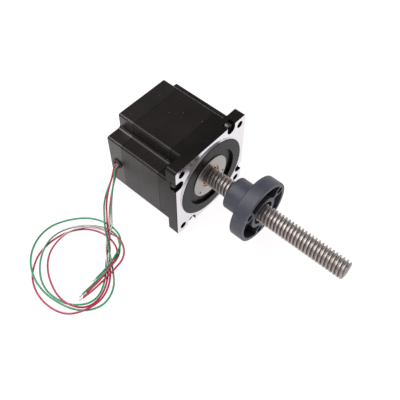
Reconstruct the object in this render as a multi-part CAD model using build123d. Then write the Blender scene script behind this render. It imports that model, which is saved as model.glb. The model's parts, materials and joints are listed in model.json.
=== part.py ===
"""External linear stepper motor, 84 mm frame, with a 5/8 inch lead screw and a flanged nut.

Units are millimetres. The origin is the centre of the flange's mounting face. +X runs along
the lead screw and away from the motor, +Z is up and +Y is the side away from the leads.
"""
import math
import os

from build123d import *

os.makedirs("parts", exist_ok=True)

# ---------------------------------------------------------------- driving dimensions
# Frame
FRAME = 84.0                    # side of the square flange and of the body
HALF = FRAME / 2
HOLE_SQUARE = 69.6              # spacing of the four mounting holes
MOUNT_HOLE_D = 6.6
FLANGE_T = 10.0
FLANGE_CORNER_R = 3.0
FLANGE_CHAMFER = 0.5
PILOT_D = 73.025
PILOT_H = 1.5
NOTCH = 15.0                    # the body's four corners are cut back by this square
EDGE_R = 2.0                    # rounded outer edges of the body
NOTCH_R = 3.0                   # fillet in the bottom of each notch
BODY_BACK = -76.5
STACK_FRONT = -19.0             # lamination stack between the two end bells
STACK_BACK = -60.0
SEAM_CHAMFER = 0.25             # on the outer edges where the stack meets each bell
CAVITY_D = 70.0                 # room for the end turns inside both bells

# Front bell, centre
RECESS_D = 54.0
RECESS_FLOOR = -1.0
RETAINER_D = 40.0
RETAINER_BORE_D = 20.6
RETAINER_T = 4.0
RETAINER_RELIEF_D = 25.0        # behind the retainer, clear of the bearing's inner race
RETAINER_RELIEF = 0.5
THROAT_BORE_D = 17.2
THROAT_RECESS = 1.2             # the bush's front sits this far behind the retainer's face
SPANNER_HOLE_D = 2.2
SPANNER_CIRCLE_D = 33.4
WEB_BACK = -6.0                 # inner face of the front wall
FRONT_HUB_D = 44.0

# Rear bell, centre
REAR_WALL = 4.5
REAR_HUB_D = 38.0
REAR_HUB_FRONT = -62.5

# Bearings: bore, outer diameter, width, back face, ball diameter, ball count
FRONT_BEARING = dict(bore=17.0, outer=35.0, width=10.0, back=-14.0, ball=5.0, balls=10)
REAR_BEARING = dict(bore=12.0, outer=28.0, width=8.0, back=-70.6, ball=4.2, balls=9)
BALL_GAP = 0.12                 # between a ball and either raceway
CAGE_T = 2.0
CAGE_RAIL = 0.8                 # solid side of the cage, behind the balls
SHIELD_T = 0.5
SPRING_T = 0.4
SPRING_W = 2.6
SPRING_WAVES = 3

# Tie screws, one beside each corner, a quarter turn apart
TIE_FROM_SIDE = 38.0            # distance of the screw from the motor's axis, across the side
TIE_ALONG_SIDE = 23.8           # distance of the screw from the middle of the side
TIE_D = 4.0
TIE_HEAD_D = 7.4
TIE_HEAD_H = 3.6
POCKET_W = 9.4
POCKET_DEPTH = 5.8

# Stator and rotor
BORE_D = 50.4
AIR_GAP = 0.3
POLES = 8
POLE_W = 9.0
SHOE_DEPTH = 2.6
SHOE_ANGLE = 32.4
ROTOR_TEETH = 50
TOOTH_W = 1.6
TOOTH_DEPTH = 0.9
SLOT_D = 70.0
COIL_WALL = 4.0
COIL_INNER_R = 28.6
COIL_OUTER_R = 32.0
BOBBIN_T = 1.2
CUP_L = 16.0
MAGNET_L = 6.0
ROTOR_FRONT = -20.5
BOARD_T = 1.4

# Lead screw and nut: 5/8 inch, two starts, 1/4 inch lead, right hand
SCREW_D = 15.875
LEAD = 6.35
STARTS = 2
PITCH = LEAD / STARTS
FLANK_ANGLE = 14.5
THREAD_DEPTH = PITCH / 2 + 0.25
THREAD_PLAY = 0.25              # nut thread stands off the screw thread by this much
SCREW_TIP = 134.6
TIP_CHAMFER = 1.2
TAIL_D = 11.0
TAIL_BACK = -60.0
SHAFT_NOSE = -3.6

NUT_BACK = 24.7
NUT_FLANGE_BACK = 42.7
NUT_FRONT = 55.3
NUT_BARREL_D = 28.7
NUT_FLANGE_D = 55.6
NUT_RIM_T = 3.2
NUT_WEB_T = 4.0                 # solid floor behind the open pockets of the nut flange
NUT_CIRCLE_D = 44.0
NUT_HOLE_D = 6.4
NUT_BOSS_D = 9.6
NUT_RIB_T = 3.4
NUT_POCKET_R = 1.2              # rounded corners of the pockets
NUT_COUNTERBORE_D = 21.6
NUT_COUNTERBORE_DEPTH = 5.0
NUT_FIRST_HOLE = 26.0           # angle of the first nut hole from +Y toward +Z

# Leads
LEAD_D = 1.6
FLOOR = -HALF                   # the surface that the motor lies on
LEAD_EXIT = (-67.5, -HALF, 0.0)
EXIT_HOLE_D = 7.4
GROMMET_BORE_D = 5.4
GROMMET_LIP_D = 9.6
GROMMET_LIP_T = 1.3
COIL_CENTRE = (-43.5, -118.0)
COIL_HALF = (47.0, 45.0)
COIL_EYE_CENTRE = (-52.0, -117.0)
COIL_EYE_HALF = (17.0, 25.0)
COIL_HEIGHT = 5.2


# ---------------------------------------------------------------- helpers
def prism(outline, x0, x1):
    """The outline, drawn in the Y-Z plane, extruded from x0 to x1."""
    return extrude(Plane.YZ.offset(x0) * outline, amount=x1 - x0)


def disc(diameter, x0, x1):
    return prism(Circle(diameter / 2), x0, x1)


def ring(outer, inner, x0, x1):
    return prism(Circle(outer / 2) - Circle(inner / 2), x0, x1)


def at_angle(shape, degrees):
    """The shape turned about the motor's axis, from +Y toward +Z."""
    return Rot(degrees, 0, 0) * shape


def save(node, *shapes):
    whole = shapes[0] if len(shapes) == 1 else Compound(children=list(shapes))
    export_step(whole, f"parts/{node}.step")


# ---------------------------------------------------------------- outlines
def body_outline():
    """A square with a square notch in each corner."""
    outline = Rectangle(FRAME, FRAME)
    middle = HALF - NOTCH / 2
    for y in (-middle, middle):
        for z in (-middle, middle):
            outline -= Pos(y, z) * Rectangle(NOTCH, NOTCH)
    inner = [v for v in outline.vertices() if abs(abs(v.X) - abs(v.Y)) < 0.01]
    outline = fillet(inner, NOTCH_R)
    outer = [v for v in outline.vertices() if max(abs(v.X), abs(v.Y)) > HALF - 0.01]
    return fillet(outer, EDGE_R)


def tie_places():
    """Angles that turn the first tie screw's place into each of the four."""
    return [quarter * 90 for quarter in range(4)]


def tie_prism(outline, x0, x1):
    """Four copies of an outline, one on each tie screw's axis."""
    here = Pos(-TIE_FROM_SIDE, TIE_ALONG_SIDE) * outline
    return [at_angle(prism(here, x0, x1), angle) for angle in tie_places()]


# ---------------------------------------------------------------- front end bell
def front_end_bell():
    outline = fillet(Rectangle(FRAME, FRAME).vertices(), FLANGE_CORNER_R)
    flange = prism(outline, -FLANGE_T, 0)
    flange = chamfer(flange.edges().group_by(Axis.X)[-1], FLANGE_CHAMFER)
    neck = prism(body_outline(), STACK_FRONT, -FLANGE_T)
    bell = flange + chamfer(neck.edges().group_by(Axis.X)[0], SEAM_CHAMFER)
    pilot = disc(PILOT_D, 0, PILOT_H)
    bell += chamfer(pilot.edges().group_by(Axis.X)[-1], 0.4)
    bell -= disc(CAVITY_D, STACK_FRONT, WEB_BACK)
    bell += disc(FRONT_HUB_D, FRONT_BEARING["back"] - 1.0, WEB_BACK)
    bell -= disc(RECESS_D, RECESS_FLOOR, PILOT_H)
    bell -= disc(RETAINER_D, -RETAINER_T, PILOT_H)
    bell -= disc(FRONT_BEARING["outer"], FRONT_BEARING["back"], 0)
    bell -= disc(FRONT_BEARING["outer"] - 5.0, FRONT_BEARING["back"] - 1.0, 0)
    half_square = HOLE_SQUARE / 2
    for y in (-half_square, half_square):
        for z in (-half_square, half_square):
            hole = Pos(y, z) * Circle(MOUNT_HOLE_D / 2)
            bell -= prism(hole, -FLANGE_T, 0)
    for pocket in tie_prism(Circle(POCKET_W / 2), -POCKET_DEPTH, 0):
        bell -= pocket
    open_side = Pos(-POCKET_W, 0) * Rectangle(2 * POCKET_W, POCKET_W)
    for slot in tie_prism(open_side, -POCKET_DEPTH, 0):
        bell -= slot
    for bore in tie_prism(Circle(TIE_D / 2 + 0.2), STACK_FRONT, 0):
        bell -= bore
    return bell


def bearing_retainer():
    """Threaded ring that holds the front bearing, with three pin-spanner holes."""
    plate = ring(RETAINER_D, RETAINER_BORE_D, -RETAINER_T, 0)
    plate = chamfer(plate.edges().group_by(Axis.X)[-1], 0.3)
    plate -= disc(RETAINER_RELIEF_D, -RETAINER_T, RETAINER_RELIEF - RETAINER_T)
    for k in range(3):
        hole = Pos(SPANNER_CIRCLE_D / 2, 0) * Circle(SPANNER_HOLE_D / 2)
        plate -= at_angle(prism(hole, -2.5, 0), 98 + 120 * k)
    return plate


def throat_bush():
    """Bronze ring pressed into the retainer, round the root of the screw."""
    return ring(RETAINER_BORE_D, THROAT_BORE_D, RETAINER_RELIEF - RETAINER_T, -THROAT_RECESS)


# ---------------------------------------------------------------- stator
def stator_outline():
    """Eight poles, each with a shoe of five small teeth, inside the body's outline."""
    metal = Sketch()
    shoe_r = BORE_D / 2 + SHOE_DEPTH
    for k in range(POLES):
        turn = Rot(0, 0, 360 / POLES * k)
        pole_mid = (BORE_D / 2 + SLOT_D / 2 + 1) / 2
        pole = Pos(pole_mid, 0) * Rectangle(SLOT_D / 2 + 1 - BORE_D / 2, POLE_W)
        half = math.radians(SHOE_ANGLE / 2)
        reach = shoe_r * 1.5
        wedge = make_face(Polyline(
            (0, 0),
            (reach * math.cos(half), -reach * math.sin(half)),
            (reach * math.cos(half), reach * math.sin(half)),
            close=True,
        ))
        metal += turn * (pole + (Circle(shoe_r) & wedge))
    metal -= Circle(BORE_D / 2)
    tooth_step = 360 / ROTOR_TEETH
    for k in range(POLES):
        for step in (-1.5, -0.5, 0.5, 1.5):
            turn = Rot(0, 0, 360 / POLES * k + step * tooth_step)
            groove = Pos(BORE_D / 2 + TOOTH_DEPTH / 2, 0) * Rectangle(TOOTH_DEPTH + 0.4, TOOTH_W)
            metal -= turn * groove
    slots = Circle(SLOT_D / 2) - metal
    return body_outline() - slots


def stator_laminations():
    skin = prism(body_outline(), STACK_BACK, STACK_FRONT)
    ends = skin.edges().group_by(Axis.X)
    skin = chamfer(ends[0] + ends[-1], SEAM_CHAMFER)
    stack = prism(stator_outline(), STACK_BACK, STACK_FRONT) & skin
    for bore in tie_prism(Circle(TIE_D / 2 + 0.2), STACK_BACK, STACK_FRONT):
        stack -= bore
    return stack


def bobbin(x0, x1):
    """Insulating end plate: a ring with one arm over each pole."""
    outline = Circle(SLOT_D / 2 - 0.1) - Circle(COIL_OUTER_R + 1.3)
    for k in range(POLES):
        arm_mid = (BORE_D / 2 + SHOE_DEPTH + SLOT_D / 2 - 0.5) / 2
        arm_len = SLOT_D / 2 - 0.5 - BORE_D / 2 - SHOE_DEPTH
        outline += Rot(0, 0, 360 / POLES * k) * Pos(arm_mid, 0) * Rectangle(arm_len, POLE_W)
    return prism(outline, x0, x1)


def stator_coils():
    """One closed winding round each pole."""
    stack_mid = (STACK_FRONT + STACK_BACK) / 2
    inner_l = STACK_FRONT - STACK_BACK + 2 * BOBBIN_T + 0.2
    inner_w = POLE_W + 0.4
    outer = RectangleRounded(inner_l + 2 * COIL_WALL, inner_w + 2 * COIL_WALL, COIL_WALL)
    loop = outer - Rectangle(inner_l, inner_w)
    one = extrude(Plane.XY.offset(COIL_INNER_R) * loop, amount=COIL_OUTER_R - COIL_INNER_R)
    one = Pos(stack_mid, 0, 0) * one
    return [at_angle(one, 360 / POLES * k) for k in range(POLES)]


def termination_board():
    """Ring board behind the coils, where the leads are soldered on."""
    outer = 2 * COIL_OUTER_R + 2.6
    inner = REAR_HUB_D + 3.0
    back = STACK_BACK - BOBBIN_T - COIL_WALL - BOARD_T - 0.3
    return ring(outer, inner, back, back + BOARD_T)


# ---------------------------------------------------------------- rear end bell
def rear_end_bell():
    cavity_back = BODY_BACK + REAR_WALL
    bell = prism(body_outline(), BODY_BACK, STACK_BACK)
    bell = chamfer(bell.faces().sort_by(Axis.X)[-1].edges(), SEAM_CHAMFER)
    bell = fillet(bell.faces().sort_by(Axis.X)[0].edges(), 0.8)
    bell -= disc(CAVITY_D, cavity_back, STACK_BACK)
    bell += disc(REAR_HUB_D, cavity_back, REAR_HUB_FRONT)
    bell -= disc(REAR_BEARING["outer"], cavity_back, REAR_HUB_FRONT)
    for bore in tie_prism(Circle(TIE_D / 2), BODY_BACK + 3.0, STACK_BACK):
        bell -= bore
    exit_hole = extrude(
        Plane(origin=LEAD_EXIT, z_dir=(0, 1, 0)) * Circle(EXIT_HOLE_D / 2), amount=12
    )
    return bell - exit_hole


def tie_screws():
    """Socket head screws from the front pockets into the rear bell."""
    head_back = -POCKET_DEPTH
    one = disc(TIE_HEAD_D, head_back, head_back + TIE_HEAD_H)
    one = chamfer(one.edges().group_by(Axis.X)[-1], 0.4)
    one -= prism(RegularPolygon(1.75, 6), head_back + TIE_HEAD_H - 2.0, head_back + TIE_HEAD_H)
    one += disc(TIE_D, BODY_BACK + 3.0, head_back)
    one = Pos(0, -TIE_FROM_SIDE, TIE_ALONG_SIDE) * one
    return [at_angle(one, angle) for angle in tie_places()]


# ---------------------------------------------------------------- bearings
def bearing_parts(size):
    """Outer race, inner race, balls, cage and shields of one deep-groove bearing."""
    back = size["back"]
    front = back + size["width"]
    middle = (back + front) / 2
    ball_r = size["ball"] / 2
    track_r = (size["bore"] + size["outer"]) / 4
    wall = (size["outer"] - size["bore"]) / 2
    race_t = (wall - size["ball"] * 0.62) / 2
    groove = revolve(
        Plane.XY * Pos(middle, track_r) * Circle(ball_r + BALL_GAP), axis=Axis.X
    )
    outer_in = size["outer"] - 2 * race_t
    inner_out = size["bore"] + 2 * race_t
    outer = ring(size["outer"], outer_in, back, front) - groove
    inner = ring(inner_out, size["bore"], back, front) - groove
    step = 360 / size["balls"]
    ball = Pos(middle, track_r, 0) * Sphere(ball_r)
    balls = [at_angle(ball, step * k) for k in range(size["balls"])]
    pocket_r = ball_r + 0.1
    cage_back = middle - pocket_r - CAGE_RAIL
    cage = ring(2 * track_r + CAGE_T, 2 * track_r - CAGE_T, cage_back, middle + ball_r / 2)
    pocket = Pos(middle, track_r, 0) * Rot(90, 0, 0) * Cylinder(pocket_r, 2 * CAGE_T)
    for k in range(size["balls"]):
        cage -= at_angle(pocket, step * k)
    shields = [
        ring(outer_in, inner_out + 0.7, x, x + SHIELD_T)
        for x in (back + 0.3, front - 0.3 - SHIELD_T)
    ]
    return outer, inner, balls, cage, shields


def preload_spring():
    """Wave washer, three waves, between the rear bearing and the rear wall."""
    wall = BODY_BACK + REAR_WALL
    room = REAR_BEARING["back"] - wall
    swing = (room - SPRING_T) / 2 - 0.05
    low = wall + (room - SPRING_T) / 2
    steps = 8 * SPRING_WAVES
    turn = 2 * math.pi / steps

    def wavy_circle(radius):
        return Spline(
            [
                (
                    low + swing * math.cos(SPRING_WAVES * turn * k),
                    radius * math.cos(turn * k),
                    radius * math.sin(turn * k),
                )
                for k in range(steps)
            ],
            periodic=True,
        ).edges()[0]

    outer_r = REAR_BEARING["outer"] / 2 - 0.7
    low_side = Face.make_surface_from_curves(wavy_circle(outer_r - SPRING_W), wavy_circle(outer_r))
    return Solid.extrude(low_side, Vector(SPRING_T, 0, 0))


# ---------------------------------------------------------------- rotor
def rotor_shaft():
    """Hollow shaft: bearing seats at both ends, the screw's tail pressed into the front."""
    front_back = FRONT_BEARING["back"]
    rear_front = REAR_BEARING["back"] + REAR_BEARING["width"]
    shaft = disc(REAR_BEARING["bore"], REAR_BEARING["back"], rear_front)
    shaft += disc(16.0, rear_front, -60.0)
    shaft += disc(20.0, -60.0, ROTOR_FRONT)
    shaft += disc(21.0, ROTOR_FRONT, front_back)
    shaft += disc(FRONT_BEARING["bore"], front_back, SHAFT_NOSE)
    return shaft - disc(TAIL_D, TAIL_BACK, SHAFT_NOSE)


def rotor_cup(x0, turn):
    """Laminated rotor section with fifty teeth."""
    outline = Circle(BORE_D / 2 - AIR_GAP) - Circle(10.0)
    groove_r = BORE_D / 2 - AIR_GAP - TOOTH_DEPTH / 2
    groove = Rectangle(TOOTH_DEPTH + 0.4, TOOTH_W)
    for k in range(ROTOR_TEETH):
        outline -= Rot(0, 0, 360 / ROTOR_TEETH * k + turn) * Pos(groove_r + 0.2, 0) * groove
    return prism(outline, x0, x0 + CUP_L)


def rotor_magnet():
    x0 = ROTOR_FRONT - CUP_L - MAGNET_L
    return ring(BORE_D - 4.0, 20.0, x0, x0 + MAGNET_L)


# ---------------------------------------------------------------- lead screw and nut
def thread_outline(major_r, root_r, half_crest):
    """Cross-section of a trapezoidal thread, square to its axis."""
    turn_per_mm = 360 / LEAD
    half_root = half_crest + (major_r - root_r) * math.tan(math.radians(FLANK_ANGLE))
    crest = half_crest * turn_per_mm
    root = half_root * turn_per_mm

    def point(radius, degrees):
        angle = math.radians(degrees)
        return (radius * math.cos(angle), radius * math.sin(angle))

    def flank(r0, a0, r1, a1):
        return Spline([point(r0 + (r1 - r0) * t, a0 + (a1 - a0) * t) for t in (0, 0.5, 1)])

    edges = []
    for k in range(STARTS):
        mid = 360 / STARTS * k
        nxt = mid + 360 / STARTS
        edges.append(ThreePointArc(
            point(major_r, mid - crest), point(major_r, mid), point(major_r, mid + crest)
        ))
        edges.append(flank(major_r, mid + crest, root_r, mid + root))
        edges.append(ThreePointArc(
            point(root_r, mid + root), point(root_r, (mid + nxt) / 2), point(root_r, nxt - root)
        ))
        edges.append(flank(root_r, nxt - root, major_r, nxt - crest))
    return make_face(Wire(edges))


def threaded_rod(major_r, root_r, half_crest, x0, x1):
    """A right-hand thread as one solid: its outline turned once per lead along the axis."""
    start_turn = 360 * x0 / LEAD
    outline = Rot(0, 0, start_turn) * thread_outline(major_r, root_r, half_crest)
    path = Edge.make_line((x0, 0, 0), (x1, 0, 0))
    guide = Edge.make_helix(
        pitch=LEAD, height=x1 - x0, radius=2 * major_r, center=(x0, 0, 0), normal=(1, 0, 0)
    )
    return sweep(Plane.YZ.offset(x0) * outline, path=path, binormal=guide)


def lead_screw():
    crest = PITCH / 4 - PITCH / 4 * math.tan(math.radians(FLANK_ANGLE))
    major_r = SCREW_D / 2
    rod = threaded_rod(major_r, major_r - THREAD_DEPTH, crest, SHAFT_NOSE, SCREW_TIP)
    envelope = disc(SCREW_D + 1.0, SHAFT_NOSE, SCREW_TIP)
    envelope = chamfer(envelope.edges().group_by(Axis.X)[-1], TIP_CHAMFER + 0.5)
    rod = rod & envelope
    tail = disc(TAIL_D, TAIL_BACK, SHAFT_NOSE)
    tail = chamfer(tail.edges().group_by(Axis.X)[0], 0.6)
    return rod + tail


def nut_thread():
    """The space that the nut leaves for the screw, as a solid."""
    crest = PITCH / 4 - PITCH / 4 * math.tan(math.radians(FLANK_ANGLE))
    axial_play = THREAD_PLAY / math.cos(math.radians(FLANK_ANGLE))
    minor_r = SCREW_D / 2 - THREAD_DEPTH + THREAD_PLAY
    major_r = SCREW_D / 2 + THREAD_PLAY
    half_crest = crest + axial_play - THREAD_PLAY * math.tan(math.radians(FLANK_ANGLE))
    x0 = NUT_BACK - 1.0
    x1 = NUT_FRONT - NUT_COUNTERBORE_DEPTH + 1.0
    return threaded_rod(major_r, minor_r, half_crest, x0, x1)


def lead_nut():
    """Moulded nut: a barrel, and a flange with three bosses, ribs and open pockets."""
    barrel = disc(NUT_BARREL_D, NUT_BACK, NUT_FLANGE_BACK + NUT_WEB_T)
    barrel = fillet(barrel.edges().group_by(Axis.X)[0], 1.2)
    skirt = disc(NUT_FLANGE_D, NUT_FLANGE_BACK, NUT_FRONT)
    skirt = fillet(skirt.edges().group_by(Axis.X)[0], 1.5)
    skirt = fillet(skirt.edges().group_by(Axis.X)[-1], 0.5)
    room = Circle(NUT_FLANGE_D / 2 - NUT_RIM_T) - Circle(NUT_BARREL_D / 2)
    for k in range(3):
        turn = Rot(0, 0, NUT_FIRST_HOLE + 120 * k)
        boss = Pos(NUT_CIRCLE_D / 2, 0) * Circle(NUT_BOSS_D / 2)
        rib_mid = (NUT_BARREL_D + NUT_CIRCLE_D - NUT_BOSS_D) / 4
        rib_len = (NUT_CIRCLE_D - NUT_BARREL_D) / 2
        rib = Pos(rib_mid, 0) * Rectangle(rib_len, NUT_RIB_T)
        room -= turn * (boss + rib)
    room = fillet(room.vertices(), NUT_POCKET_R)
    pockets = prism(room, NUT_FLANGE_BACK + NUT_WEB_T, NUT_FRONT)
    nut = barrel + skirt - pockets
    nut -= disc(NUT_COUNTERBORE_D, NUT_FRONT - NUT_COUNTERBORE_DEPTH, NUT_FRONT)
    for k in range(3):
        hole = Pos(NUT_CIRCLE_D / 2, 0) * Circle(NUT_HOLE_D / 2)
        nut -= at_angle(prism(hole, NUT_FLANGE_BACK, NUT_FRONT), NUT_FIRST_HOLE + 120 * k)
    return nut - nut_thread()


# ---------------------------------------------------------------- leads
def lead_grommet():
    """Rubber bush in the rear bell's side, with a lip outside."""
    here = Plane(origin=LEAD_EXIT, z_dir=(0, -1, 0))
    lip = extrude(here * Circle(GROMMET_LIP_D / 2), amount=GROMMET_LIP_T)
    lip = fillet(lip.edges().group_by(Axis.Y)[0], 0.6)
    bush = extrude(here * Circle(EXIT_HOLE_D / 2), amount=-5.5)
    return lip + bush - extrude(here * Circle(GROMMET_BORE_D / 2), amount=8, both=True)


# Each lead from inside the rear bell, through the grommet, down to the loose coil on the floor.
LEAD_ROUTES = {
    "lead_green": [
        (-68.2, -35.5, -1.0), (-68.2, -44.6, -1.0), (-67.7, -49.7, -11.1),
        (-69.4, -56.7, -24.8), (-66.4, -65.0, -33.4), (-59.8, -71.7, -38.4),
        (-51.8, -78.6, -39.2),
    ],
    "lead_red": [
        (-68.2, -35.5, 1.0), (-68.2, -45.3, 1.0), (-66.9, -50.6, -9.5),
        (-67.6, -56.6, -22.6), (-65.1, -63.5, -34.4), (-58.3, -70.1, -39.0),
        (-50.2, -77.0, -39.2),
    ],
    "lead_red_white": [
        (-66.4, -35.5, -1.0), (-66.4, -44.6, -1.0), (-64.6, -49.9, -11.2),
        (-64.4, -55.5, -23.2), (-60.7, -62.8, -32.1), (-55.2, -69.6, -37.8),
        (-48.0, -76.8, -39.2),
    ],
    "lead_green_white": [
        (-66.4, -35.5, 1.0), (-66.4, -46.3, 1.0), (-64.2, -51.0, -9.6),
        (-63.0, -56.1, -21.2), (-59.0, -62.7, -31.0), (-53.8, -68.4, -37.9),
        (-46.6, -75.3, -39.2),
    ],
}
ARC_SHARE = 0.45                # of the shorter run beside a bend


def lead_tube(node, points):
    """Straight runs joined by arcs as large as the runs allow."""
    places = [Vector(*p) for p in points]
    radii = []
    for before, here, after in zip(places, places[1:], places[2:]):
        first = here - before
        second = after - here
        half_turn = math.radians(first.get_angle(second)) / 2
        shorter = min(first.length, second.length)
        radii.append(ARC_SHARE * shorter / math.tan(half_turn))
    print(node, "radii", [round(r, 1) for r in radii])
    path = FilletPolyline(*places, radius=radii)
    start = Plane(origin=path @ 0, z_dir=path % 0)
    tube = sweep(start * Circle(LEAD_D / 2), path=path)
    section = math.pi * LEAD_D**2 / 4
    print(node, "volume", round(tube.volume, 2), "section x length", round(section * path.length, 2))
    return tube


def lead_coil():
    """The loose coil of the four leads on the floor, as the closed shape round its turns."""
    outer = Pos(*COIL_CENTRE) * Ellipse(*COIL_HALF)
    eye = Pos(*COIL_EYE_CENTRE) * Ellipse(*COIL_EYE_HALF)
    return extrude(Plane.XY.offset(FLOOR) * (outer - eye), amount=COIL_HEIGHT)


# ---------------------------------------------------------------- the whole motor
save("front_end_bell", front_end_bell())
save("bearing_retainer", bearing_retainer())
save("throat_bush", throat_bush())
save("stator_laminations", stator_laminations())
save("front_bobbin", bobbin(STACK_FRONT, STACK_FRONT + BOBBIN_T))
save("rear_bobbin", bobbin(STACK_BACK - BOBBIN_T, STACK_BACK))
save("stator_coils", *stator_coils())
save("termination_board", termination_board())
save("rear_end_bell", rear_end_bell())
save("tie_screws", *tie_screws())
save("preload_spring", preload_spring())

for end, size in (("front", FRONT_BEARING), ("rear", REAR_BEARING)):
    outer_race, inner_race, balls, cage, shields = bearing_parts(size)
    save(f"{end}_bearing_outer_race", outer_race)
    save(f"{end}_bearing_inner_race", inner_race)
    save(f"{end}_bearing_balls", *balls)
    save(f"{end}_bearing_cage", cage)
    save(f"{end}_bearing_shields", *shields)

save("rotor_shaft", rotor_shaft())
save("rotor_cup_front", rotor_cup(ROTOR_FRONT - CUP_L, 0))
save("rotor_magnet", rotor_magnet())
save("rotor_cup_rear", rotor_cup(ROTOR_FRONT - 2 * CUP_L - MAGNET_L, 180 / ROTOR_TEETH))
save("lead_screw", lead_screw())
save("lead_nut", lead_nut())

save("lead_grommet", lead_grommet())
for name, route in LEAD_ROUTES.items():
    save(name, lead_tube(name, route))
save("lead_coil", lead_coil())
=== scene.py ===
"""The looks of the linear stepper motor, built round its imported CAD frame. Lengths are metres."""
import json
import math

import bmesh
import bpy
from mathutils import Matrix, Vector


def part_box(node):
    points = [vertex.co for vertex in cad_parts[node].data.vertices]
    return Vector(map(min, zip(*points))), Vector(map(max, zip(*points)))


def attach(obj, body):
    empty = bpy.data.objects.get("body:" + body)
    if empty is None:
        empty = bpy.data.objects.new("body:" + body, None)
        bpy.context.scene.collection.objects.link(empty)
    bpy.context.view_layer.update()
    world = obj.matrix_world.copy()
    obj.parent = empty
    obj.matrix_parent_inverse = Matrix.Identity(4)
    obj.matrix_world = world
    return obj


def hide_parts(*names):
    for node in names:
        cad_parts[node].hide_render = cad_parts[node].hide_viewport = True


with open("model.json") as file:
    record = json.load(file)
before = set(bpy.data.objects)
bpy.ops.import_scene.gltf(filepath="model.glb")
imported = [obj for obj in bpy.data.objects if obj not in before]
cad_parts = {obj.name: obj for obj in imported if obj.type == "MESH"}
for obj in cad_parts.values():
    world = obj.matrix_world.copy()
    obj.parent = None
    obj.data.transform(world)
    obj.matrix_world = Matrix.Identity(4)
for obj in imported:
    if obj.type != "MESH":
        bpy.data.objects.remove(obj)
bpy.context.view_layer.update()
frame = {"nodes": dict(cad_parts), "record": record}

MM = 0.001
NODES = frame["nodes"]
SCENE = bpy.context.scene

# ---------------------------------------------------------------- camera
AZIMUTH = 41.14                 # of the camera, from -Y toward +X
ELEVATION = 54.71
ROLL = 0.52
SENSOR = 36.0
LENS = 53.62                    # for that sensor's width
CAMERA_AT = (0.1926, -0.2339, 0.3933)
CLIP_START = 0.01


def add_camera():
    """The photograph's viewing angle."""
    azimuth = math.radians(AZIMUTH)
    elevation = math.radians(ELEVATION)
    roll = math.radians(ROLL)
    back = Vector((
        math.sin(azimuth) * math.cos(elevation),
        -math.cos(azimuth) * math.cos(elevation),
        math.sin(elevation),
    ))
    level = (-back).cross(Vector((0, 0, 1))).normalized()
    upright = level.cross(-back)
    right = level * math.cos(roll) + upright * math.sin(roll)
    up = upright * math.cos(roll) - level * math.sin(roll)
    data = bpy.data.cameras.new("camera")
    data.lens = LENS
    data.sensor_width = SENSOR
    data.clip_start = CLIP_START
    camera = bpy.data.objects.new("camera", data)
    SCENE.collection.objects.link(camera)
    camera.matrix_world = Matrix((
        (right.x, up.x, back.x, CAMERA_AT[0]),
        (right.y, up.y, back.y, CAMERA_AT[1]),
        (right.z, up.z, back.z, CAMERA_AT[2]),
        (0, 0, 0, 1),
    ))
    SCENE.camera = camera


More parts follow.
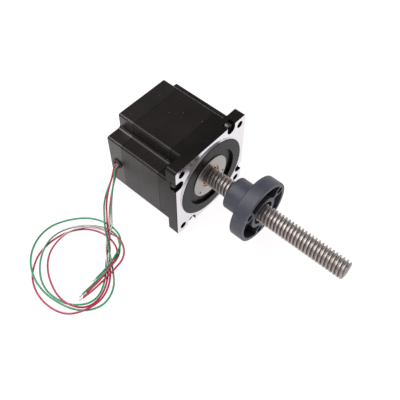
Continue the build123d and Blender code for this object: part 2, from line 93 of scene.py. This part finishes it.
# ---------------------------------------------------------------- node trees
class Tree:
    """A material's node tree, with one call for each kind of node used here.

    The values given with its name are the shader's own, the same all over the surface.
    """

    def __init__(self, name, **sockets):
        self.material = bpy.data.materials.new(name)
        self.material.use_nodes = True
        self.nodes = self.material.node_tree.nodes
        self.links = self.material.node_tree.links
        self.shader = self.nodes["Principled BSDF"]
        for socket, value in sockets.items():
            self.shader.inputs[socket.replace("_", " ")].default_value = value

    def put(self, target, value):
        """Links another node's output to a socket, or sets the socket to a number or colour."""
        if hasattr(value, "is_linked"):
            self.links.new(value, target)
        else:
            target.default_value = value

    def set(self, socket, value):
        self.put(self.shader.inputs[socket], value)

    def place(self, stretch=(1, 1, 1)):
        """The point on the piece, in millimetres, stretched along each axis."""
        point = self.nodes.new("ShaderNodeTexCoord").outputs["Object"]
        mapping = self.nodes.new("ShaderNodeMapping")
        mapping.inputs["Scale"].default_value = [s / MM for s in stretch]
        self.links.new(point, mapping.inputs["Vector"])
        return mapping.outputs["Vector"]

    def noise(self, vector, scale, detail=3.0, roughness=0.55):
        node = self.nodes.new("ShaderNodeTexNoise")
        self.put(node.inputs["Vector"], vector)
        node.inputs["Scale"].default_value = scale
        node.inputs["Detail"].default_value = detail
        node.inputs["Roughness"].default_value = roughness
        return node.outputs["Fac"]

    def noise_along(self, value, scale, detail=2.0, roughness=0.55):
        """Noise that changes with one value alone, which draws sheets or rings."""
        scaled = self.math("MULTIPLY", value, scale)
        return self.noise(self.join(scaled, 0.0, 0.0), 1.0, detail, roughness)

    def cells(self, vector, scale):
        """The distance to the nearest of many scattered points."""
        node = self.nodes.new("ShaderNodeTexVoronoi")
        self.put(node.inputs["Vector"], vector)
        node.inputs["Scale"].default_value = scale
        return node.outputs["Distance"]

    def math(self, operation, a, b=0.0, clamp=False):
        node = self.nodes.new("ShaderNodeMath")
        node.operation = operation
        node.use_clamp = clamp
        for target, value in zip(node.inputs, (a, b)):
            self.put(target, value)
        return node.outputs[0]

    def mixed(self, a, b, share):
        """The first value's share and the rest of the second."""
        return self.math("ADD", self.math("MULTIPLY", a, share), self.math("MULTIPLY", b, 1 - share))

    def split(self, vector):
        node = self.nodes.new("ShaderNodeSeparateXYZ")
        self.links.new(vector, node.inputs[0])
        return node.outputs

    def join(self, x, y, z):
        node = self.nodes.new("ShaderNodeCombineXYZ")
        for target, value in zip(node.inputs, (x, y, z)):
            self.put(target, value)
        return node.outputs[0]

    def span(self, value, low, high, out_low=0.0, out_high=1.0):
        """The value carried from low..high to out_low..out_high, and held there."""
        node = self.nodes.new("ShaderNodeMapRange")
        for target, number in zip(node.inputs, (value, low, high, out_low, out_high)):
            self.put(target, number)
        return node.outputs[0]

    def blend(self, share, a, b):
        """A colour between two, each a link or a plain red, green and blue."""
        node = self.nodes.new("ShaderNodeMix")
        node.data_type = "RGBA"
        self.put(node.inputs["Factor"], share)
        sockets = [s for s in node.inputs if s.type == "RGBA"]
        for target, colour in zip(sockets, (a, b)):
            self.put(target, (*colour, 1) if isinstance(colour, tuple) else colour)
        return [s for s in node.outputs if s.type == "RGBA"][0]

    def bump(self, height, depth, strength=1.0, under=None):
        """A normal from a height, with its depth in millimetres, laid over another normal."""
        node = self.nodes.new("ShaderNodeBump")
        node.inputs["Strength"].default_value = strength
        node.inputs["Distance"].default_value = depth * MM
        self.links.new(height, node.inputs["Height"])
        if under is not None:
            self.links.new(under, node.inputs["Normal"])
        return node.outputs["Normal"]


def radius_from_axis(tree, point):
    parts = tree.split(point)
    squares = tree.math("ADD", tree.math("POWER", parts["Y"], 2.0), tree.math("POWER", parts["Z"], 2.0))
    return tree.math("SQRT", squares)


def turned_tangent(tree, point):
    """The direction of the tool marks on a face turned about the motor's axis."""
    parts = tree.split(point)
    marks = tree.join(0.0, tree.math("MULTIPLY", parts["Z"], -1.0), parts["Y"])
    node = tree.nodes.new("ShaderNodeVectorMath")
    node.operation = "NORMALIZE"
    tree.links.new(marks, node.inputs[0])
    return node.outputs[0]


# ---------------------------------------------------------------- materials
# Lengths in this section are millimetres, and noise scales are for each millimetre.
PAINT_TINT = (1.0, 0.90, 0.91, 1.0)     # warm cast of the paint's reflections
PAINT_DARK = (0.0080, 0.0064, 0.0062)
PAINT_LIGHT = (0.0135, 0.0108, 0.0104)
DUST = (0.30, 0.27, 0.26)
FACE_DEPTH = 0.05               # behind the flange's face, where its paint starts
PILOT_BARE_TO = 1.1             # in front of it, where the pilot's paint starts
BARE_FROM_R = 36.3              # from the axis: a little inside the pilot's side
THREAD_ROOT_R = 6.1
THREAD_CREST_R = 7.9
NUT_FRONT = 55.3                # the nut's front face, in front of the flange's
SHEET_SCALE = 2.0               # noise that draws the sheets of a lamination stack
BROAD_SCALE = 0.32              # slower noise over the same sheets
WIRE_PITCH = 0.5                # from turn to turn of a winding
TRACK_SCALE = 1.9               # radians of the tracks' wave for each millimetre from the axis


def black_paint(tree, point, glossiest=0.25, laminated=False):
    """Satin black paint with an orange-peel surface, and dust specks in a few patches."""
    drift = tree.noise(point, 0.035)
    colour = tree.blend(tree.span(drift, 0.35, 0.7), PAINT_DARK, PAINT_LIGHT)
    specks = tree.span(tree.cells(point, 0.26), 0.10, 0.06)
    patches = tree.span(tree.noise(point, 0.11, 1.0), 0.53, 0.59)
    specks = tree.math("MULTIPLY", specks, patches, clamp=True)
    colour = tree.blend(tree.math("MULTIPLY", specks, 0.5), colour, DUST)
    rough = tree.span(tree.noise(point, 0.5, 4.0), 0.3, 0.75, glossiest, glossiest + 0.08)
    peel = tree.bump(tree.noise(point, 1.4, 2.0), 0.05, 0.3)
    if laminated:
        x = tree.split(point)["X"]
        broad = tree.noise_along(x, BROAD_SCALE, 3.0)
        lines = tree.math("ADD", tree.noise_along(x, SHEET_SCALE), tree.math("MULTIPLY", broad, 0.7))
        rough = tree.math("ADD", rough, tree.span(broad, 0.3, 0.7, -0.03, 0.04))
        peel = tree.bump(lines, 0.03, 0.8, under=peel)
    tree.set("Base Color", colour)
    tree.set("Roughness", rough)
    tree.set("Normal", peel)
    return colour, rough


def painted_metal():
    tree = Tree("satin_black_paint", Specular_Tint=PAINT_TINT)
    black_paint(tree, tree.place())
    return tree.material


def painted_laminations():
    tree = Tree("painted_laminations", Specular_IOR_Level=0.45, IOR=1.36, Specular_Tint=PAINT_TINT)
    black_paint(tree, tree.place(), glossiest=0.29, laminated=True)
    return tree.material


def front_bell_finish():
    """Paint, with the mounting face and the pilot's side machined bare."""
    tree = Tree("painted_bell_with_machined_face", Specular_IOR_Level=0.4, IOR=1.26)
    point = tree.place()
    colour, rough = black_paint(tree, point)
    x = tree.split(point)["X"]
    radius = radius_from_axis(tree, point)
    on_face = tree.math("GREATER_THAN", x, -FACE_DEPTH)
    below_rim = tree.math("LESS_THAN", x, PILOT_BARE_TO)
    outside = tree.math("GREATER_THAN", radius, BARE_FROM_R)
    bare = tree.math("MULTIPLY", tree.math("MULTIPLY", on_face, below_rim), outside)
    rings = tree.noise_along(radius, 3.2, 4.0, 0.7)
    tone = tree.mixed(rings, tree.noise(point, 0.8, 5.0, 0.7), 0.6)
    metal = tree.blend(tree.span(tone, 0.35, 0.65), (0.68, 0.67, 0.695), (0.82, 0.81, 0.835))
    metal_rough = tree.span(tone, 0.3, 0.7, 0.10, 0.15)
    extra = tree.math("MULTIPLY", tree.math("SUBTRACT", metal_rough, rough), bare)
    tree.set("Base Color", tree.blend(bare, colour, metal))
    tree.set("Metallic", bare)
    tree.set("Roughness", tree.math("ADD", rough, extra))
    return tree.material


def turned_steel(name, light, dark, roughness):
    """Steel faced on a lathe: fine rings about the motor's axis."""
    tree = Tree(name, Metallic=1.0, Anisotropic=0.6)
    point = tree.place()
    rings = tree.noise_along(radius_from_axis(tree, point), 2.6, 5.0, 0.7)
    tone = tree.mixed(rings, tree.noise(point, 1.3, 4.0, 0.65), 0.55)
    tree.set("Base Color", tree.blend(tree.span(tone, 0.36, 0.64), dark, light))
    tree.set("Roughness", tree.span(tone, 0.3, 0.7, roughness - 0.05, roughness + 0.07))
    tree.set("Normal", tree.bump(tone, 0.012, 0.6))
    tree.set("Tangent", turned_tangent(tree, point))
    return tree.material


def rolled_thread():
    """Stainless thread: semi-bright crests and duller roots, with painted shade that darkens the roots."""
    tree = Tree("rolled_stainless_thread", Metallic=1.0)
    radius = radius_from_axis(tree, tree.place())
    height = tree.span(radius, THREAD_ROOT_R, THREAD_CREST_R)
    streaks = tree.noise(tree.place((0.7, 2.5, 2.5)), 1.1, 4.0, 0.65)
    crest_colour = tree.blend(tree.span(streaks, 0.3, 0.7), (0.38, 0.338, 0.323), (0.50, 0.452, 0.438))
    rough = tree.span(height, 0.0, 1.0, 0.52, 0.47)
    uneven = tree.span(streaks, 0.3, 0.7, -0.03, 0.05)
    # Painted shade: the colour darkens from the crests down into the roots, where the grooves are shaded.
    tree.set("Base Color", tree.blend(height, (0.33, 0.292, 0.280), crest_colour))
    tree.set("Roughness", tree.math("ADD", rough, uneven))
    tree.set("Normal", tree.bump(streaks, 0.02, 0.5))
    return tree.material


def plain_metal(name, light, dark, roughness, grain_scale=0.9):
    tree = Tree(name, Metallic=1.0)
    grain = tree.noise(tree.place(), grain_scale, 5.0, 0.65)
    tree.set("Base Color", tree.blend(tree.span(grain, 0.32, 0.68), dark, light))
    tree.set("Roughness", tree.span(grain, 0.3, 0.7, roughness - 0.05, roughness + 0.08))
    tree.set("Normal", tree.bump(grain, 0.015, 0.5))
    return tree.material


def moulded_acetal():
    """Blue-grey engineering plastic, faintly mottled, with a painted highlight that lightens its front
    face.
    """
    tree = Tree("moulded_acetal")
    point = tree.place()
    mottle = tree.noise(point, 0.11, 4.0, 0.6)
    fine = tree.noise(point, 3.0, 3.0, 0.6)
    colour = tree.blend(tree.span(mottle, 0.35, 0.68), (0.038, 0.039, 0.057), (0.058, 0.059, 0.085))
    # Painted highlight: the front face and its rims are blended toward a lighter grey.
    front = tree.span(tree.split(point)["X"], NUT_FRONT - 0.7, NUT_FRONT - 0.1)
    tree.set("Base Color", tree.blend(tree.math("MULTIPLY", front, 0.35), colour, (0.15, 0.15, 0.17)))
    tree.set("Roughness", tree.span(fine, 0.3, 0.7, 0.46, 0.58))
    tree.set("Normal", tree.bump(fine, 0.02, 0.5))
    return tree.material


def soft_rubber():
    tree = Tree("grommet_rubber")
    fine = tree.noise(tree.place(), 4.0)
    tree.set("Base Color", tree.blend(fine, (0.008, 0.008, 0.008), (0.022, 0.021, 0.02)))
    tree.set("Roughness", tree.span(fine, 0.3, 0.7, 0.5, 0.7))
    tree.set("Normal", tree.bump(fine, 0.03, 0.6))
    return tree.material


def insulation(name, dark, light):
    """Extruded lead insulation: glossy, with slow changes of tone along the lead."""
    tree = Tree(name, Coat_Weight=0.25, Coat_Roughness=0.15)
    point = tree.place()
    drift = tree.noise(point, 0.06)
    fine = tree.noise(point, 2.5)
    tree.set("Base Color", tree.blend(tree.span(drift, 0.3, 0.7), dark, light))
    tree.set("Roughness", tree.span(fine, 0.3, 0.7, 0.26, 0.38))
    tree.set("Normal", tree.bump(fine, 0.01, 0.5))
    return tree.material


def wound_wire():
    """Enamelled copper, laid turn beside turn round each pole."""
    tree = Tree("enamelled_copper", Metallic=0.85, Roughness=0.32, Coat_Weight=0.6)
    point = tree.place()
    radius = radius_from_axis(tree, point)
    turns = tree.math("SINE", tree.math("MULTIPLY", radius, 2 * math.pi / WIRE_PITCH))
    grain = tree.noise(point, 1.2)
    tree.set("Base Color", tree.blend(grain, (0.42, 0.15, 0.05), (0.66, 0.29, 0.12)))
    tree.set("Normal", tree.bump(turns, 0.08, 0.8))
    return tree.material


def moulded_nylon():
    tree = Tree("natural_nylon", Subsurface_Weight=0.1)
    point = tree.place()
    drift = tree.noise(point, 0.3)
    tree.set("Base Color", tree.blend(drift, (0.66, 0.63, 0.55), (0.78, 0.76, 0.68)))
    tree.set("Roughness", tree.span(drift, 0.3, 0.7, 0.42, 0.56))
    tree.set("Normal", tree.bump(tree.noise(point, 2.0, 2.0), 0.02, 0.5))
    return tree.material


def solder_mask():
    """Green board with plain annular tracks."""
    tree = Tree("solder_mask", Roughness=0.3, Coat_Weight=0.4)
    point = tree.place()
    wave = tree.math("SINE", tree.math("MULTIPLY", radius_from_axis(tree, point), TRACK_SCALE))
    tracks = tree.math("GREATER_THAN", wave, 0.2)
    board = tree.blend(tree.noise(point, 1.5), (0.008, 0.10, 0.035), (0.014, 0.15, 0.055))
    tree.set("Base Color", tree.blend(tracks, board, (0.022, 0.21, 0.085)))
    tree.set("Normal", tree.bump(tracks, 0.03, 0.5))
    return tree.material


def lamination_edges(name, light, dark):
    """The bare edges of a pile of sheets."""
    tree = Tree(name, Metallic=1.0)
    point = tree.place()
    sheets = tree.noise_along(tree.split(point)["X"], SHEET_SCALE)
    grain = tree.noise(point, 1.5, 4.0)
    tone = tree.mixed(sheets, grain, 0.7)
    tree.set("Base Color", tree.blend(tree.span(tone, 0.35, 0.65), dark, light))
    tree.set("Roughness", tree.span(grain, 0.3, 0.7, 0.34, 0.5))
    tree.set("Normal", tree.bump(sheets, 0.03, 0.7))
    return tree.material


def finish_for_slots():
    """One material for each of the record's slots, except the two with a white tracer."""
    return {
        "painted_aluminium": painted_metal(),
        "painted_steel": painted_laminations(),
        "machined_steel": turned_steel("turned_steel", (0.50, 0.48, 0.462), (0.30, 0.285, 0.276), 0.30),
        "bearing_steel": plain_metal("ground_bearing_steel", (0.78, 0.78, 0.79), (0.62, 0.62, 0.63), 0.16),
        "screw_steel": plain_metal("black_oxide_steel", (0.10, 0.098, 0.095), (0.045, 0.044, 0.042), 0.38),
        "stainless_steel": rolled_thread(),
        "bronze": plain_metal("turned_bronze", (0.72, 0.40, 0.20), (0.42, 0.21, 0.09), 0.3),
        "rotor_steel": lamination_edges("rotor_laminations", (0.34, 0.335, 0.33), (0.16, 0.155, 0.15)),
        "magnet": plain_metal("nickel_plate", (0.50, 0.48, 0.43), (0.33, 0.31, 0.28), 0.28),
        "copper_winding": wound_wire(),
        "nylon": moulded_nylon(),
        "circuit_board": solder_mask(),
        "moulded_plastic": moulded_acetal(),
        "rubber_bush": soft_rubber(),
        "green_insulation": insulation("green_insulation", (0.016, 0.26, 0.105), (0.028, 0.36, 0.15)),
        "red_insulation": insulation("red_insulation", (0.42, 0.008, 0.062), (0.54, 0.016, 0.090)),
    }


def dress(node, material):
    mesh = NODES[node].data
    mesh.materials.clear()
    mesh.materials.append(material)


def dress_nodes(finishes):
    """The finish of its slot for each CAD node, and one of its own for the front bell."""
    for part in frame["record"]["subparts"]:
        if part["material_slot"] in finishes:
            dress(part["node"], finishes[part["material_slot"]])
    dress("front_end_bell", front_bell_finish())


# ---------------------------------------------------------------- leads
LEAD_D = 1.6 * MM
LEAD_SIDES = 20
LEAD_RESOLUTION = 8             # line points for each point of a route
RING_STEP = LEAD_D / 2.2        # from ring to ring along a lead
TRACER_PITCH = 170.0 * MM       # the white tracer winds slowly round the lead
TRACER_SIDES = 4                # sides of the lead that it covers
BARE_LENGTH = 4.0 * MM          # stripped conductor at each lead's end
BARE_START = 0.3 * MM           # how far inside the insulation it starts
BARE_STEPS = 10                 # ring steps along it
STRAND_D = 0.32 * MM
STRAND_SIDES = 8
STRAND_RING = 6                 # strands round the middle one
STRAND_TWIST = 2 * math.pi / (6.0 * MM)

# name: finish, white tracer or not, length, route from the grommet to the bare end
LEADS = {
    "lead_green": ("green", False, 0.384, [
        (-0.0682, -0.0355, -0.00100), (-0.0682, -0.0446, -0.00100), (-0.0677, -0.0497, -0.01110),
        (-0.0694, -0.0567, -0.02480), (-0.0664, -0.0650, -0.03340), (-0.0598, -0.0717, -0.03840),
        (-0.0518, -0.0786, -0.03920), (-0.0454, -0.0831, -0.03835), (-0.0389, -0.0873, -0.03735),
        (-0.0334, -0.0916, -0.03835), (-0.0278, -0.0953, -0.03895), (-0.0216, -0.0994, -0.04085),
        (-0.0162, -0.1032, -0.04115), (-0.0106, -0.1074, -0.04115), (-0.0050, -0.1126, -0.04115),
        (-0.0007, -0.1204, -0.04115), (0.0008, -0.1291, -0.04115), (-0.0022, -0.1376, -0.04115),
        (-0.0082, -0.1443, -0.04115), (-0.0156, -0.1488, -0.04115), (-0.0253, -0.1518, -0.04115),
        (-0.0373, -0.1538, -0.04115), (-0.0470, -0.1536, -0.04035), (-0.0560, -0.1520, -0.03935),
        (-0.0660, -0.1478, -0.03935), (-0.0745, -0.1420, -0.04065), (-0.0817, -0.1343, -0.04115),
        (-0.0871, -0.1226, -0.04115), (-0.0879, -0.1103, -0.04115), (-0.0837, -0.0987, -0.04115),
        (-0.0755, -0.0870, -0.04115), (-0.0665, -0.0793, -0.04115), (-0.0560, -0.0752, -0.04115),
        (-0.0451, -0.0740, -0.04115), (-0.0360, -0.0761, -0.04115), (-0.0296, -0.0809, -0.04005),
        (-0.0251, -0.0875, -0.03795), (-0.0223, -0.0954, -0.03735), (-0.0209, -0.1022, -0.03835),
        (-0.0206, -0.1100, -0.03955), (-0.0209, -0.1175, -0.04105),
    ]),
    "lead_red": ("red", False, 0.371, [
        (-0.0682, -0.0355, 0.00100), (-0.0682, -0.0453, 0.00100), (-0.0669, -0.0506, -0.00950),
        (-0.0676, -0.0566, -0.02260), (-0.0651, -0.0635, -0.03440), (-0.0583, -0.0701, -0.03900),
        (-0.0502, -0.0770, -0.03920), (-0.0441, -0.0816, -0.03635), (-0.0383, -0.0862, -0.03835),
        (-0.0329, -0.0905, -0.03995), (-0.0283, -0.0956, -0.04105), (-0.0229, -0.1006, -0.04115),
        (-0.0170, -0.1054, -0.04115), (-0.0120, -0.1102, -0.04115), (-0.0080, -0.1160, -0.04115),
        (-0.0050, -0.1226, -0.04115), (-0.0036, -0.1300, -0.04065), (-0.0043, -0.1380, -0.03935),
        (-0.0072, -0.1456, -0.03935), (-0.0120, -0.1520, -0.04055), (-0.0194, -0.1570, -0.04115),
        (-0.0308, -0.1597, -0.04115), (-0.0429, -0.1592, -0.04115), (-0.0534, -0.1559, -0.04115),
        (-0.0615, -0.1510, -0.04115), (-0.0680, -0.1438, -0.04115), (-0.0736, -0.1342, -0.04115),
        (-0.0756, -0.1220, -0.04115), (-0.0746, -0.1118, -0.04115), (-0.0720, -0.1029, -0.04115),
        (-0.0665, -0.0944, -0.04115), (-0.0593, -0.0882, -0.04115), (-0.0495, -0.0842, -0.04115),
        (-0.0405, -0.0835, -0.04115), (-0.0321, -0.0850, -0.04115), (-0.0256, -0.0887, -0.04055),
        (-0.0212, -0.0945, -0.03855), (-0.0189, -0.1010, -0.03755), (-0.0177, -0.1087, -0.03835),
        (-0.0169, -0.1180, -0.04055), (-0.0170, -0.1314, -0.04115),
    ]),
    "lead_red_white": ("red", True, 0.354, [
        (-0.0664, -0.0355, -0.00100), (-0.0664, -0.0446, -0.00100), (-0.0646, -0.0499, -0.01120),
        (-0.0644, -0.0555, -0.02320), (-0.0607, -0.0628, -0.03210), (-0.0552, -0.0696, -0.03780),
        (-0.0480, -0.0768, -0.03920), (-0.0443, -0.0818, -0.03935), (-0.0397, -0.0878, -0.03975),
        (-0.0350, -0.0930, -0.03995), (-0.0296, -0.0973, -0.03895), (-0.0239, -0.1018, -0.04065),
        (-0.0181, -0.1068, -0.04115), (-0.0134, -0.1120, -0.04115), (-0.0096, -0.1178, -0.04115),
        (-0.0068, -0.1240, -0.04115), (-0.0056, -0.1304, -0.04115), (-0.0062, -0.1366, -0.04115),
        (-0.0092, -0.1422, -0.04055), (-0.0142, -0.1462, -0.03935), (-0.0220, -0.1488, -0.03935),
        (-0.0310, -0.1488, -0.04055), (-0.0390, -0.1470, -0.04115), (-0.0482, -0.1436, -0.04115),
        (-0.0578, -0.1380, -0.04115), (-0.0663, -0.1298, -0.04115), (-0.0708, -0.1204, -0.04115),
        (-0.0720, -0.1108, -0.04065), (-0.0708, -0.1026, -0.03935), (-0.0665, -0.0944, -0.03935),
        (-0.0610, -0.0870, -0.03985), (-0.0516, -0.0816, -0.04115), (-0.0420, -0.0796, -0.04085),
        (-0.0340, -0.0790, -0.03875), (-0.0270, -0.0810, -0.03855), (-0.0206, -0.0854, -0.03995),
        (-0.0169, -0.0920, -0.04065), (-0.0154, -0.0998, -0.03935), (-0.0144, -0.1073, -0.03915),
        (-0.0145, -0.1170, -0.03985), (-0.0148, -0.1272, -0.04115), (-0.0160, -0.1365, -0.04115),
    ]),
    "lead_green_white": ("green", True, 0.358, [
        (-0.0664, -0.0355, 0.00100), (-0.0664, -0.0463, 0.00100), (-0.0642, -0.0510, -0.00960),
        (-0.0630, -0.0561, -0.02120), (-0.0590, -0.0627, -0.03100), (-0.0538, -0.0684, -0.03790),
        (-0.0466, -0.0753, -0.03920), (-0.0431, -0.0804, -0.03905), (-0.0383, -0.0863, -0.03995),
        (-0.0342, -0.0920, -0.04105), (-0.0298, -0.0973, -0.04115), (-0.0251, -0.1031, -0.04115),
        (-0.0194, -0.1081, -0.04115), (-0.0149, -0.1134, -0.04115), (-0.0112, -0.1190, -0.04115),
        (-0.0084, -0.1250, -0.04115), (-0.0076, -0.1314, -0.04115), (-0.0096, -0.1376, -0.04115),
        (-0.0132, -0.1420, -0.04115), (-0.0184, -0.1466, -0.04115), (-0.0248, -0.1496, -0.04115),
        (-0.0330, -0.1514, -0.04115), (-0.0420, -0.1518, -0.04115), (-0.0524, -0.1490, -0.04115),
        (-0.0628, -0.1422, -0.04075), (-0.0704, -0.1336, -0.03995), (-0.0752, -0.1246, -0.03935),
        (-0.0774, -0.1150, -0.03935), (-0.0762, -0.1040, -0.04055), (-0.0704, -0.0936, -0.04115),
        (-0.0618, -0.0850, -0.04115), (-0.0516, -0.0790, -0.04115), (-0.0426, -0.0772, -0.04115),
        (-0.0354, -0.0786, -0.04115), (-0.0282, -0.0834, -0.04115), (-0.0225, -0.0900, -0.04105),
        (-0.0198, -0.0976, -0.03945), (-0.0189, -0.1075, -0.03935), (-0.0188, -0.1188, -0.04065),
        (-0.0188, -0.1292, -0.04115), (-0.0186, -0.1343, -0.04115),
    ]),
}


def line_of(route):
    """The points of the smooth line that a route controls."""
    curve = bpy.data.curves.new("route", "CURVE")
    curve.dimensions = "3D"
    spline = curve.splines.new("NURBS")
    spline.points.add(len(route) - 1)
    for point, place in zip(spline.points, route):
        point.co = (*place, 1)
    spline.order_u = 3
    spline.use_endpoint_u = True
    spline.resolution_u = LEAD_RESOLUTION
    holder = bpy.data.objects.new("route", curve)
    SCENE.collection.objects.link(holder)
    mesh = bpy.data.meshes.new_from_object(holder)
    points = [v.co.copy() for v in mesh.vertices]
    bpy.data.objects.remove(holder)
    bpy.data.curves.remove(curve)
    bpy.data.meshes.remove(mesh)
    return points


def evenly(points, step):
    """Points along the same line, a step apart, and its last point."""
    spaced = [points[0]]
    left = step
    for here, there in zip(points, points[1:]):
        run = (there - here).length
        done = 0.0
        while run - done > left:
            done += left
            spaced.append(here.lerp(there, done / run))
            left = step
        left -= run - done
    if (spaced[-1] - points[-1]).length > step / 4:
        spaced.append(points[-1])
    return spaced


def frames_along(points):
    """Each point with two directions square to the line, which don't spin round it."""
    frames = []
    side = None
    for i, point in enumerate(points):
        ahead = points[min(i + 1, len(points) - 1)]
        behind = points[max(i - 1, 0)]
        forward = (ahead - behind).normalized()
        if side is None:
            side = forward.orthogonal().normalized()
        side = (side - forward * side.dot(forward)).normalized()
        frames.append((point, side, forward.cross(side)))
    return frames


def ring(middle, side, other, radius, sides, turn):
    """The corners of a round section, turned about its middle."""
    corners = []
    for k in range(sides):
        angle = 2 * math.pi * k / sides + turn
        corners.append(middle + (side * math.cos(angle) + other * math.sin(angle)) * radius)
    return corners


def skin(rings, sides):
    """The faces between neighbouring rings, then a cap on each end."""
    faces = []
    for i in range(rings - 1):
        here = i * sides
        there = here + sides
        for k in range(sides):
            after = (k + 1) % sides
            faces.append((here + k, here + after, there + after, there + k))
    last = (rings - 1) * sides
    faces.append(tuple(reversed(range(sides))))
    faces.append(tuple(range(last, last + sides)))
    return faces


def tube(name, points, diameter, sides, material, twist=0.0, offset=0.0, phase=0.0):
    """A closed round tube that twists along the points, beside them where it has an offset."""
    corners = []
    travelled = 0.0
    previous = points[0]
    for point, side, other in frames_along(points):
        travelled += (point - previous).length
        previous = point
        turn = travelled * twist + phase
        middle = point + (side * math.cos(turn) + other * math.sin(turn)) * offset
        corners += ring(middle, side, other, diameter / 2, sides, turn)
    mesh = bpy.data.meshes.new(name)
    mesh.from_pydata(corners, [], skin(len(points), sides))
    mesh.materials.append(material)
    for face in list(mesh.polygons)[:-2]:
        face.use_smooth = True
    piece = bpy.data.objects.new(name, mesh)
    SCENE.collection.objects.link(piece)
    return piece


def add_tracer(piece, white):
    """Colours the first few sides of every ring, so the tracer turns with them."""
    piece.data.materials.append(white)
    for i, face in enumerate(list(piece.data.polygons)[:-2]):
        if i % LEAD_SIDES < TRACER_SIDES:
            face.material_index = 1


def bare_end(name, points, material):
    """The stripped conductor: six strands twisted round a seventh, lying level, as one piece."""
    forward = points[-1] - points[-2]
    forward.z = 0.0
    forward.normalize()
    start = points[-1] - forward * BARE_START
    line = [start + forward * BARE_LENGTH * (k / BARE_STEPS) for k in range(BARE_STEPS + 1)]
    strands = [tube(name, line, STRAND_D, STRAND_SIDES, material)]
    for k in range(STRAND_RING):
        strands.append(tube(
            f"{name}_{k}", line, STRAND_D, STRAND_SIDES, material,
            twist=STRAND_TWIST, offset=STRAND_D, phase=2 * math.pi * k / STRAND_RING,
        ))
    whole = joined(strands)
    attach(whole, "root")
    return whole


def joined(pieces):
    """The first piece, with the meshes of all of them and smooth throughout."""
    whole = pieces[0]
    merged = bmesh.new()
    for piece in pieces:
        merged.from_mesh(piece.data)
    merged.to_mesh(whole.data)
    merged.free()
    for piece in pieces[1:]:
        bpy.data.objects.remove(piece)
    for face in whole.data.polygons:
        face.use_smooth = True
    return whole


def add_leads(finishes):
    white = insulation("white_tracer", (0.62, 0.62, 0.60), (0.74, 0.74, 0.72))
    tinned = plain_metal("tinned_copper", (0.78, 0.76, 0.72), (0.55, 0.52, 0.47), 0.3, 3.0)
    for name, (colour, traced, length, route) in LEADS.items():
        line = evenly(line_of(route), RING_STEP)
        piece = tube(
            f"{name}_wire", line, LEAD_D, LEAD_SIDES, finishes[f"{colour}_insulation"],
            twist=2 * math.pi / TRACER_PITCH,
        )
        if traced:
            add_tracer(piece, white)
        end = bare_end(f"{name}_strands", line, tinned)
        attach(piece, "root")
        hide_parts(name, "lead_coil")


# ---------------------------------------------------------------- floor, light and sky
FLOOR_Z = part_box("lead_coil")[0].z
FLOOR_HALF = 20.0
FLOOR_GLOW = 0.95               # light that the table gives off by itself
GLOW_COLOUR = (1.0, 0.97, 0.975, 1.0)

# (sine of the height above the horizon, strength), from straight down to straight up
SKY = [(-1.0, 0.5), (-0.02, 0.8), (0.14, 0.75), (0.34, 0.24), (0.72, 0.22), (0.86, 0.24), (1.0, 0.5)]

# name: where it stands, its size and its watts; each faces the origin
SOFTBOXES = {
    "key": ((-0.44, -0.36, 1.06), 1.0, 14.0),
    "back": ((0.1, 1.2, 0.4), 0.9, 2.5),
}


def light_table():
    tree = Tree(
        "light_table", Roughness=0.6, Specular_IOR_Level=0.2,
        Emission_Color=GLOW_COLOUR, Emission_Strength=FLOOR_GLOW,
    )
    drift = tree.noise(tree.place(), 0.02)
    tree.set("Base Color", tree.blend(drift, (0.15, 0.15, 0.15), (0.17, 0.17, 0.17)))
    return tree.material


def add_floor():
    """A plain pale floor that the motor and the leads lie on."""
    corners = [(-1, -1), (1, -1), (1, 1), (-1, 1)]
    mesh = bpy.data.meshes.new("floor")
    mesh.from_pydata([(x * FLOOR_HALF, y * FLOOR_HALF, FLOOR_Z) for x, y in corners], [], [(0, 1, 2, 3)])
    mesh.materials.append(light_table())
    floor = bpy.data.objects.new("floor", mesh)
    SCENE.collection.objects.link(floor)


def add_sky():
    """A soft studio sky: brightest at the horizon, dim above it, brighter again overhead."""
    world = bpy.data.worlds.new("studio")
    world.use_nodes = True
    SCENE.world = world
    nodes = world.node_tree.nodes
    links = world.node_tree.links
    direction = nodes.new("ShaderNodeTexCoord").outputs["Generated"]
    split = nodes.new("ShaderNodeSeparateXYZ")
    links.new(direction, split.inputs[0])
    height = nodes.new("ShaderNodeMapRange")
    height.inputs["From Min"].default_value = -1.0
    links.new(split.outputs["Z"], height.inputs["Value"])
    ramp = nodes.new("ShaderNodeValToRGB")
    links.new(height.outputs[0], ramp.inputs["Fac"])
    stops = ramp.color_ramp.elements
    while len(stops) < len(SKY):
        stops.new(0.5)
    for stop, (sine, strength) in zip(stops, SKY):
        stop.position = (sine + 1) / 2
        stop.color = (strength, strength, strength, 1)
    links.new(ramp.outputs["Color"], nodes["Background"].inputs["Color"])


def add_softboxes():
    for name, (place, size, watts) in SOFTBOXES.items():
        data = bpy.data.lights.new(name, "AREA")
        data.shape = "DISK"
        data.size = size
        data.energy = watts
        light = bpy.data.objects.new(name, data)
        SCENE.collection.objects.link(light)
        light.location = place
        light.rotation_euler = (-Vector(place)).to_track_quat("-Z", "Y").to_euler()


def set_picture():
    SCENE.view_settings.view_transform = "Standard"
    SCENE.view_settings.look = "None"
    SCENE.view_settings.exposure = 0.0


add_camera()
finishes = finish_for_slots()
add_leads(finishes)
dress_nodes(finishes)
add_floor()
add_sky()
add_softboxes()
set_picture()
